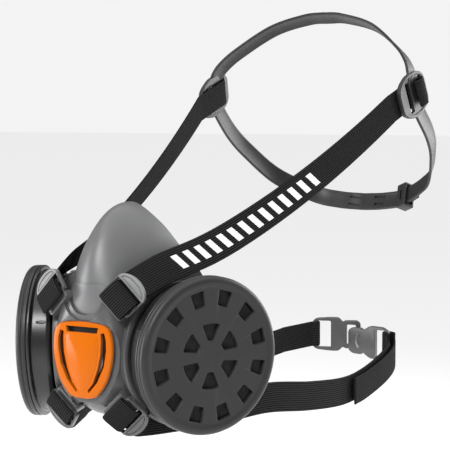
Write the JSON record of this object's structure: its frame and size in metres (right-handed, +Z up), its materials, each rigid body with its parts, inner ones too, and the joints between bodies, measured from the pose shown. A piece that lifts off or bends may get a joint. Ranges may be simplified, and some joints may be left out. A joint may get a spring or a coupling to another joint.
{
  "type": "painters respirator mask",
  "caption": "Reusable half-face painting respirator with soft cup, side filter cartridges, front exhale valve, head cradle and clasped neck strap.",
  "frame": {"origin": "centre of the cup's face opening, midway between its sides and near mid height, in the plane where it meets the face", "axes": "-Y forward, out of the wearer's face; +Y back to the wearer's face and head; +X to the wearer's left; +Z up"},
  "size_m": [0.1708, 0.3669, 0.2695],
  "materials": {
    "cup_elastomer": "satin",
    "yoke_plastic": "satin",
    "cover_orange": "gloss",
    "valve_plastic": "satin",
    "valve_silicone": "satin",
    "gasket_rubber": "matte",
    "filter_plastic": "satin",
    "filter_media": "matte",
    "webbing": "matte",
    "cradle_plastic": "satin",
    "clasp_plastic": "satin"
  },
  "bodies": {
    "mask": {"facepiece": "cup_elastomer", "yoke": "yoke_plastic", "exhale_valve_seat": "valve_plastic", "inhale_valve_seat_left": "valve_plastic", "inhale_valve_seat_right": "valve_plastic", "port_gasket_left": "gasket_rubber", "port_gasket_right": "gasket_rubber", "upper_anchor_left": "webbing", "upper_anchor_right": "webbing", "lower_anchor_left": "webbing", "lower_anchor_right": "webbing"},
    "cover": {"valve_cover": "cover_orange"},
    "exhale_disc": {"exhale_flap": "valve_silicone"},
    "inhale_disc_left": {"inhale_flap_left": "valve_silicone"},
    "inhale_disc_right": {"inhale_flap_right": "valve_silicone"},
    "filter_left": {"filter_drum_left": "filter_plastic", "filter_media_left": "filter_media"},
    "filter_right": {"filter_drum_right": "filter_plastic", "filter_media_right": "filter_media"},
    "cap_left": {"filter_cap_left": "filter_plastic"},
    "cap_right": {"filter_cap_right": "filter_plastic"},
    "harness": {"upper_strap_left": "webbing", "upper_strap_right": "webbing", "head_cradle": "cradle_plastic"},
    "keeper": {"band_keeper": "cradle_plastic"},
    "neck": {"lower_strap_left": "webbing", "lower_strap_right": "webbing", "buckle_loop_half": "clasp_plastic"},
    "hook": {"buckle_hook_half": "clasp_plastic"}
  },
  "joints": [
    {"name": "harness_swing", "type": "hinge", "parent": "mask", "child": "harness", "pos_m": [0, -0.03632, 0.02568], "axis": [1, 0, 0], "range_deg": [0, 55]},
    {"name": "neck_swing", "type": "hinge", "parent": "mask", "child": "neck", "pos_m": [0, -0.0334, -0.05871], "axis": [-1, 0, 0], "range_deg": [0, 50]},
    {"name": "clasp_unhook", "type": "hinge", "parent": "neck", "child": "hook", "pos_m": [0.02865, 0.28707, -0.054], "axis": [0, 0, 1], "range_deg": [0, 45]},
    {"name": "keeper_slide", "type": "slide", "parent": "harness", "child": "keeper", "axis": [0.8654, -0.3742, 0.3332], "range_m": [-0.0025, 0.0025]},
    {"name": "filter_twist_left", "type": "hinge", "parent": "mask", "child": "filter_left", "pos_m": [0.0427, -0.01, -0.01935], "axis": [-0.9089, 0.4161, 0.0262], "range_deg": [0, 40]},
    {"name": "filter_twist_right", "type": "hinge", "parent": "mask", "child": "filter_right", "pos_m": [-0.0427, -0.01, -0.01935], "axis": [-0.9089, -0.4161, -0.0262], "range_deg": [0, 40]},
    {"name": "cap_pull_left", "type": "slide", "parent": "filter_left", "child": "cap_left", "axis": [0.9089, -0.4161, -0.0262], "range_m": [0, 0.015]},
    {"name": "cap_pull_right", "type": "slide", "parent": "filter_right", "child": "cap_right", "axis": [-0.9089, -0.4161, -0.0262], "range_m": [0, 0.015]},
    {"name": "valve_cover_pull", "type": "slide", "parent": "mask", "child": "cover", "axis": [0, -1, 0], "range_m": [0, 0.02]},
    {"name": "exhale_lift", "type": "slide", "parent": "mask", "child": "exhale_disc", "axis": [0, -1, 0], "range_m": [0, 0.0009], "stiffness_N_per_m": 40},
    {"name": "inhale_lift_left", "type": "slide", "parent": "mask", "child": "inhale_disc_left", "axis": [-0.9089, 0.4161, 0.0262], "range_m": [0, 0.0015], "stiffness_N_per_m": 30},
    {"name": "inhale_lift_right", "type": "slide", "parent": "mask", "child": "inhale_disc_right", "axis": [0.9089, 0.4161, 0.0262], "range_m": [0, 0.0015], "stiffness_N_per_m": 30}
  ]
}
